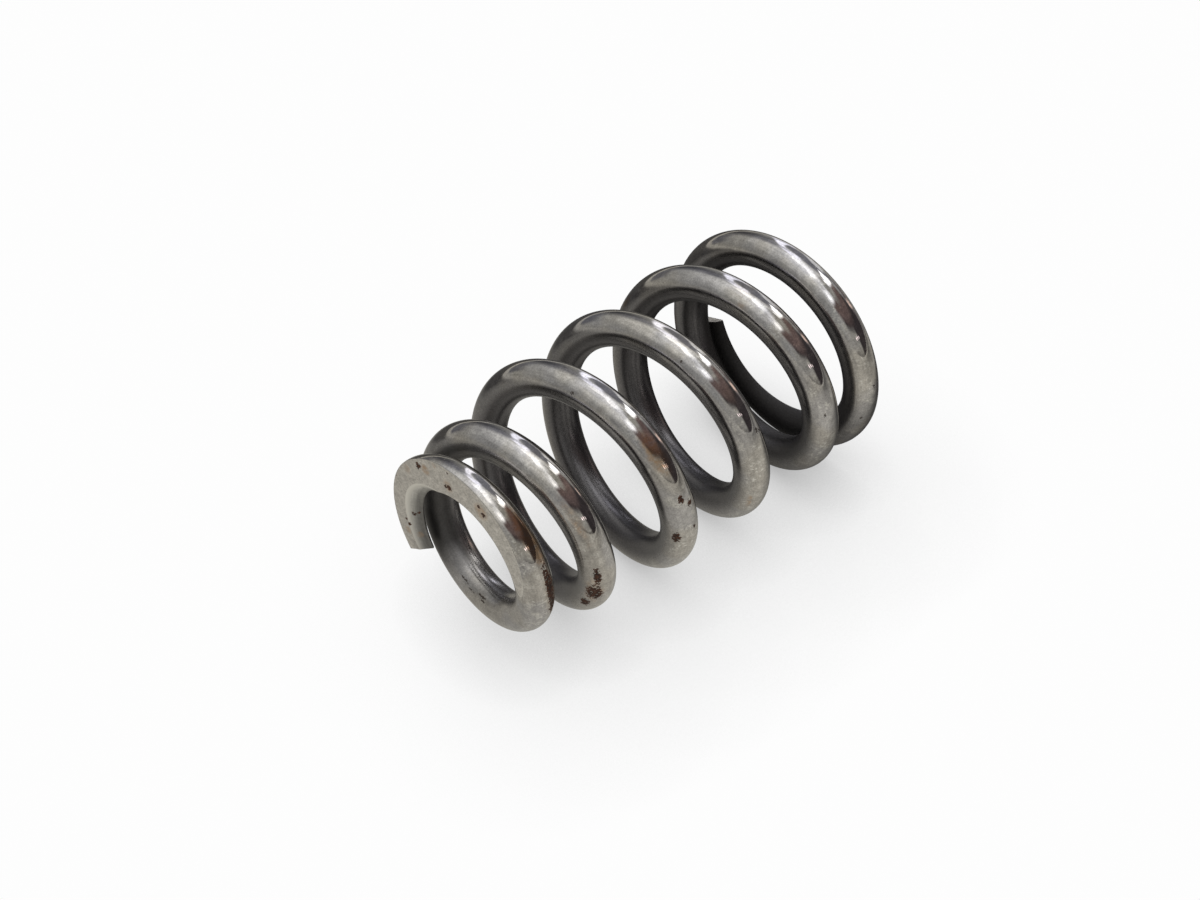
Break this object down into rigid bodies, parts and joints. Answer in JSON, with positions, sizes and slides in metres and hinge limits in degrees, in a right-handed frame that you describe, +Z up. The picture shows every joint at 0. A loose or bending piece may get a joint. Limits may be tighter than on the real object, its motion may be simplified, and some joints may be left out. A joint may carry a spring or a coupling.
{
  "type": "valve spring",
  "caption": "Beehive valve spring: a helical compression spring of round steel wire, narrower towards the top, with closed, ground ends to sit between a cylinder head and a valve retainer.",
  "frame": {"origin": "middle of the lower ground face, on the axis of the coil, at the large end", "axes": "+Z up the axis of the coil, from the large end to the small end; +X through the cut tip of the wire at the large end"},
  "size_m": [0.0332, 0.0332, 0.058],
  "materials": {
    "spring_steel": "tumbled smooth and worn, satin on the ground faces, with small rust stains and pits"
  },
  "bodies": {
    "root": {"valve_spring": "spring_steel"}
  },
  "joints": []
}
